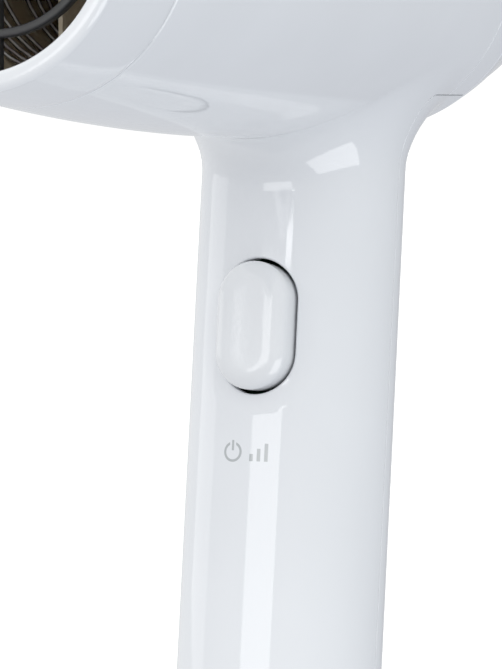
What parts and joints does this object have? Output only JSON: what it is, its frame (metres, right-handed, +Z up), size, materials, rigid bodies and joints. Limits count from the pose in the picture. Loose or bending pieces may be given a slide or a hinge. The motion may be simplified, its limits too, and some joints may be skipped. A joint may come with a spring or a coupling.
{
  "type": "hair dryer",
  "caption": "White hair dryer with a tapering barrel on a leaning oval handle, one oval push button, a spinning fan inside and a pull-off rear filter cap.",
  "frame": {"origin": "centre of the bounding box in x and y, at its lowest z, which is the handle's end face", "axes": "-Y the way the air leaves the outlet, +Z up from the handle's end to the barrel, +X to the left of someone looking into the outlet from the front; the part is symmetric about x = 0"},
  "size_m": [0.0754, 0.2058, 0.1986],
  "materials": {
    "gloss_white": "glossy",
    "button_white": "satin",
    "mid_grey": "satin",
    "dark_plastic": "satin",
    "rubber": "matte",
    "mica": "matte",
    "steel": "brushed",
    "copper": "satin",
    "board_green": "satin",
    "mesh_grey": "matte"
  },
  "bodies": {
    "housing": {"front_housing": "gloss_white", "handle_rear_cover": "gloss_white", "outlet_ring": "gloss_white", "rear_ring": "gloss_white", "handle_end_cap": "gloss_white", "outlet_grille": "dark_plastic", "tact_switch": "dark_plastic", "circuit_board": "board_green", "relay": "dark_plastic", "film_capacitor": "mid_grey", "heat_sink": "steel", "electrolytic_capacitor": "dark_plastic", "fan_duct": "dark_plastic", "motor_can": "steel", "motor_end_cap": "dark_plastic", "magnet_upper": "dark_plastic", "magnet_lower": "dark_plastic", "motor_sleeve": "rubber", "mica_tube": "mica", "mica_board_upright": "mica", "mica_board_level": "mica", "heater_coil_front": "steel", "heater_coil_rear": "steel", "heater_collar": "dark_plastic", "thermostat": "dark_plastic", "thermal_fuse": "steel", "cover_screw_lower": "steel", "cover_screw_upper": "steel", "cord_gland": "rubber"},
    "button": {"power_button": "button_white", "button_stem": "mid_grey"},
    "plunger": {"switch_plunger": "mid_grey"},
    "fan": {"impeller": "mid_grey", "motor_shaft": "steel", "rotor": "copper", "commutator": "copper"},
    "rear_cap": {"filter_cap": "gloss_white", "intake_grille": "mid_grey", "filter_mesh": "mesh_grey"}
  },
  "joints": [
    {"name": "power_button_push", "type": "slide", "parent": "housing", "child": "button", "axis": [0, 0.992, -0.1265], "range_m": [0, 0.0012], "stiffness_N_per_m": 1500},
    {"name": "switch_plunger_travel", "type": "slide", "parent": "housing", "child": "plunger", "axis": [0, 0.992, -0.1265], "range_m": [0, 0.0012]},
    {"name": "fan_spin", "type": "hinge", "parent": "housing", "child": "fan", "pos_m": [0, 0.03035, 0.1609], "axis": [0, 1, 0], "continuous": true},
    {"name": "filter_cap_pull", "type": "slide", "parent": "housing", "child": "rear_cap", "axis": [0, 1, 0], "range_m": [0, 0.025]}
  ],
  "couplings": [
    {"joint": "switch_plunger_travel", "follows": "power_button_push", "ratio": 1}
  ]
}
